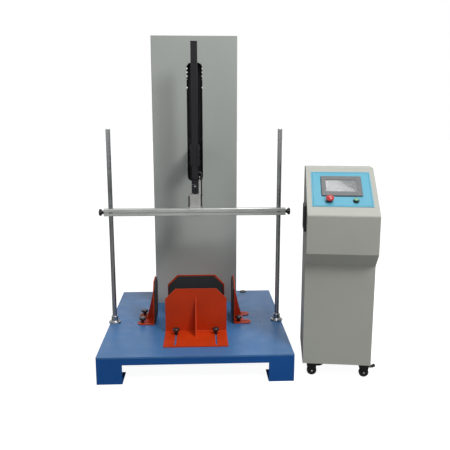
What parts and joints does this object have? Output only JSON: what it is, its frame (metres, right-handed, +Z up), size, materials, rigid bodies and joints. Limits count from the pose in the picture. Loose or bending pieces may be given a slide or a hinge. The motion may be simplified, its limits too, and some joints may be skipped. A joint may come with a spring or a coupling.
{
  "type": "luggage handle fatigue tester",
  "caption": "Floor-standing luggage handle fatigue tester: belt-driven column with pull bar and air gripper over a clamping deck, with a wheeled control console.",
  "frame": {"origin": "bottom centre of the overall box of station and console, on the floor", "axes": "+Z up, +X to the operator's right, where the console stands, +Y from the operator towards the column"},
  "size_m": [1.4744, 1.1722, 1.8],
  "materials": {
    "deck_paint": "satin powder coat, mid blue",
    "skirt_paint": "satin powder coat, dark blue",
    "column_paint": "matt fine-textured powder coat, grey with a green cast",
    "grommet_rubber": "matt black rubber",
    "module_aluminium": "anodised",
    "belt_rubber": "matt black toothed belt",
    "motor_paint": "satin dark grey",
    "bar_black": "satin black",
    "gripper_aluminium": "clear anodised",
    "cheek_black": "matt black",
    "jaw_steel": "ground steel",
    "post_steel": "ground shaft steel",
    "crossbar_aluminium": "clear anodised extrusion",
    "bracket_orange": "satin powder coat, orange red",
    "pad_rubber": "matt black rubber sheet",
    "knob_black": "black moulded plastic, slight sheen",
    "console_paint": "satin powder coat, light grey",
    "panel_blue": "satin light blue",
    "hmi_grey": "fine-textured grey",
    "screen_grey": "gloss, dark grey screen",
    "collar_black": "black",
    "estop_red": "gloss red",
    "start_green": "gloss green",
    "fan_black": "black moulded",
    "caster_black": "satin black",
    "wheel_black": "matt black tread"
  },
  "bodies": {
    "station": {"base_deck": "deck_paint", "base_skirt": "skirt_paint", "base_frame": "skirt_paint", "column_shell": "column_paint", "column_rear_cover": "column_paint", "deck_grommet": "grommet_rubber", "module_beam": "module_aluminium", "timing_belt": "belt_rubber", "gear_motor": "motor_paint", "posts": "post_steel", "post_flanges": "post_steel"},
    "lift_carriage": {"carriage": "module_aluminium", "slot_arm": "bar_black"},
    "drive_pulley": {"drive_pulley": "module_aluminium"},
    "idler_pulley": {"idler_pulley": "module_aluminium"},
    "pull_bar": {"pull_bar": "bar_black", "load_cell": "bar_black", "gripper_yoke": "gripper_aluminium", "gripper_cheeks": "cheek_black", "air_hose": "cheek_black"},
    "jaw_front": {"jaw_front": "jaw_steel"},
    "jaw_rear": {"jaw_rear": "jaw_steel"},
    "crossbar": {"crossbar": "crossbar_aluminium"},
    "crossbar_knob_left": {"crossbar_knob_left": "knob_black"},
    "crossbar_knob_right": {"crossbar_knob_right": "knob_black"},
    "bracket_front": {"bracket_front": "bracket_orange", "pad_front": "pad_rubber"},
    "bracket_rear": {"bracket_rear": "bracket_orange", "pad_rear": "pad_rubber"},
    "bracket_right": {"bracket_right": "bracket_orange", "pad_right": "pad_rubber"},
    "bracket_left": {"bracket_left": "bracket_orange", "pad_left": "pad_rubber"},
    "knob_front_left": {"knob_front_left": "knob_black"},
    "knob_front_right": {"knob_front_right": "knob_black"},
    "knob_rear_left": {"knob_rear_left": "knob_black"},
    "knob_rear_right": {"knob_rear_right": "knob_black"},
    "knob_left_front": {"knob_left_front": "knob_black"},
    "knob_left_rear": {"knob_left_rear": "knob_black"},
    "knob_right_front": {"knob_right_front": "knob_black"},
    "knob_right_rear": {"knob_right_rear": "knob_black"},
    "console": {"console_shell": "console_paint", "console_rear_panel": "console_paint", "control_panel": "panel_blue", "hmi_frame": "hmi_grey", "hmi_screen": "screen_grey", "button_collars": "collar_black", "fan_grille": "fan_black"},
    "estop_button": {"estop_button": "estop_red"},
    "start_button": {"start_button": "start_green"},
    "caster_fork_front_left": {"caster_fork_front_left": "caster_black"},
    "caster_wheel_front_left": {"caster_wheel_front_left": "wheel_black"},
    "brake_pedal_front_left": {"brake_pedal_front_left": "caster_black"},
    "caster_fork_front_right": {"caster_fork_front_right": "caster_black"},
    "caster_wheel_front_right": {"caster_wheel_front_right": "wheel_black"},
    "brake_pedal_front_right": {"brake_pedal_front_right": "caster_black"},
    "caster_fork_rear_left": {"caster_fork_rear_left": "caster_black"},
    "caster_wheel_rear_left": {"caster_wheel_rear_left": "wheel_black"},
    "caster_fork_rear_right": {"caster_fork_rear_right": "caster_black"},
    "caster_wheel_rear_right": {"caster_wheel_rear_right": "wheel_black"}
  },
  "joints": [
    {"name": "carriage_lift", "type": "slide", "parent": "station", "child": "lift_carriage", "axis": [0, 0, 1], "range_m": [0, 0.46]},
    {"name": "drive_pulley_spin", "type": "hinge", "parent": "station", "child": "drive_pulley", "pos_m": [-0.19692, 0.52606, 0.235], "axis": [1, 0, 0], "range_deg": [-900, 10]},
    {"name": "idler_pulley_spin", "type": "hinge", "parent": "station", "child": "idler_pulley", "pos_m": [-0.19692, 0.52606, 1.725], "axis": [1, 0, 0], "range_deg": [-900, 10]},
    {"name": "pull_bar_height", "type": "slide", "parent": "lift_carriage", "child": "pull_bar", "axis": [0, 0, 1], "range_m": [-0.35, 0.03]},
    {"name": "jaw_front_slide", "type": "slide", "parent": "pull_bar", "child": "jaw_front", "axis": [0, 1, 0], "range_m": [0, 0.014]},
    {"name": "jaw_rear_slide", "type": "slide", "parent": "pull_bar", "child": "jaw_rear", "axis": [0, -1, 0], "range_m": [0, 0.014]},
    {"name": "crossbar_height", "type": "slide", "parent": "station", "child": "crossbar", "axis": [0, 0, 1], "range_m": [-0.33, 0.42]},
    {"name": "crossbar_knob_left_turn", "type": "hinge", "parent": "crossbar", "child": "crossbar_knob_left", "pos_m": [-0.71022, 0.00405, 0.797], "axis": [-1, 0, 0], "range_deg": [0, 720]},
    {"name": "crossbar_knob_right_turn", "type": "hinge", "parent": "crossbar", "child": "crossbar_knob_right", "pos_m": [0.31638, 0.00405, 0.797], "axis": [1, 0, 0], "range_deg": [0, 720]},
    {"name": "bracket_front_slide", "type": "slide", "parent": "station", "child": "bracket_front", "axis": [0, 1, 0], "range_m": [-0.007, 0.125]},
    {"name": "bracket_rear_slide", "type": "slide", "parent": "station", "child": "bracket_rear", "axis": [0, -1, 0], "range_m": [-0.007, 0.125]},
    {"name": "bracket_right_slide", "type": "slide", "parent": "station", "child": "bracket_right", "axis": [-1, 0, 0], "range_m": [-0.003, 0.038]},
    {"name": "bracket_left_slide", "type": "slide", "parent": "station", "child": "bracket_left", "axis": [1, 0, 0], "range_m": [-0.045, 0.014]},
    {"name": "knob_front_left_turn", "type": "hinge", "parent": "station", "child": "knob_front_left", "pos_m": [-0.30593, -0.20594, 0.1506], "axis": [0, 0, 1], "range_deg": [0, 720]},
    {"name": "knob_front_right_turn", "type": "hinge", "parent": "station", "child": "knob_front_right", "pos_m": [-0.08793, -0.20594, 0.1506], "axis": [0, 0, 1], "range_deg": [0, 720]},
    {"name": "knob_rear_left_turn", "type": "hinge", "parent": "station", "child": "knob_rear_left", "pos_m": [-0.30593, 0.16106, 0.1506], "axis": [0, 0, 1], "range_deg": [0, 720]},
    {"name": "knob_rear_right_turn", "type": "hinge", "parent": "station", "child": "knob_rear_right", "pos_m": [-0.08793, 0.16106, 0.1506], "axis": [0, 0, 1], "range_deg": [0, 720]},
    {"name": "knob_left_front_turn", "type": "hinge", "parent": "station", "child": "knob_left_front", "pos_m": [-0.50792, -0.01995, 0.1506], "axis": [0, 0, 1], "range_deg": [0, 720]},
    {"name": "knob_left_rear_turn", "type": "hinge", "parent": "station", "child": "knob_left_rear", "pos_m": [-0.50792, 0.11206, 0.1506], "axis": [0, 0, 1], "range_deg": [0, 720]},
    {"name": "knob_right_front_turn", "type": "hinge", "parent": "station", "child": "knob_right_front", "pos_m": [0.05108, -0.01995, 0.1506], "axis": [0, 0, 1], "range_deg": [0, 720]},
    {"name": "knob_right_rear_turn", "type": "hinge", "parent": "station", "child": "knob_right_rear", "pos_m": [0.05108, 0.11206, 0.1506], "axis": [0, 0, 1], "range_deg": [0, 720]},
    {"name": "console_roll", "type": "slide", "parent": "station", "child": "console", "axis": [1, 0, 0], "range_m": [0, 0.8]},
    {"name": "estop_press", "type": "slide", "parent": "console", "child": "estop_button", "axis": [-0.079, -0.5621, 0.8233], "range_m": [-0.004, 0], "stiffness_N_per_m": 500},
    {"name": "start_press", "type": "slide", "parent": "console", "child": "start_button", "axis": [-0.079, -0.5621, 0.8233], "range_m": [-0.003, 0], "stiffness_N_per_m": 300},
    {"name": "caster_front_left_swivel", "type": "hinge", "parent": "console", "child": "caster_fork_front_left", "pos_m": [0.39483, -0.41685, 0.082], "axis": [0, 0, 1], "continuous": true},
    {"name": "caster_front_left_roll", "type": "hinge", "parent": "caster_fork_front_left", "child": "caster_wheel_front_left", "pos_m": [0.40672, -0.41852, 0.025], "axis": [0.1392, 0.9903, 0], "continuous": true},
    {"name": "brake_pedal_front_left_press", "type": "hinge", "parent": "caster_fork_front_left", "child": "brake_pedal_front_left", "pos_m": [0.42355, -0.42089, 0.053], "axis": [0.1392, 0.9903, 0], "range_deg": [0, 12]},
    {"name": "caster_front_right_swivel", "type": "hinge", "parent": "console", "child": "caster_fork_front_right", "pos_m": [0.65924, -0.45401, 0.082], "axis": [0, 0, 1], "continuous": true},
    {"name": "caster_front_right_roll", "type": "hinge", "parent": "caster_fork_front_right", "child": "caster_wheel_front_right", "pos_m": [0.67112, -0.45568, 0.025], "axis": [0.1392, 0.9903, 0], "continuous": true},
    {"name": "brake_pedal_front_right_press", "type": "hinge", "parent": "caster_fork_front_right", "child": "brake_pedal_front_right", "pos_m": [0.68795, -0.45805, 0.053], "axis": [0.1392, 0.9903, 0], "range_deg": [0, 12]},
    {"name": "caster_rear_left_swivel", "type": "hinge", "parent": "console", "child": "caster_fork_rear_left", "pos_m": [0.42823, -0.17919, 0.082], "axis": [0, 0, 1], "continuous": true},
    {"name": "caster_rear_left_roll", "type": "hinge", "parent": "caster_fork_rear_left", "child": "caster_wheel_rear_left", "pos_m": [0.44012, -0.18086, 0.025], "axis": [0.1392, 0.9903, 0], "continuous": true},
    {"name": "caster_rear_right_swivel", "type": "hinge", "parent": "console", "child": "caster_fork_rear_right", "pos_m": [0.69264, -0.21635, 0.082], "axis": [0, 0, 1], "continuous": true},
    {"name": "caster_rear_right_roll", "type": "hinge", "parent": "caster_fork_rear_right", "child": "caster_wheel_rear_right", "pos_m": [0.70452, -0.21802, 0.025], "axis": [0.1392, 0.9903, 0], "continuous": true}
  ],
  "couplings": [
    {"joint": "drive_pulley_spin", "follows": "carriage_lift", "rad_per_m": -32.206},
    {"joint": "idler_pulley_spin", "follows": "carriage_lift", "rad_per_m": -32.206},
    {"joint": "jaw_rear_slide", "follows": "jaw_front_slide", "ratio": 1}
  ]
}
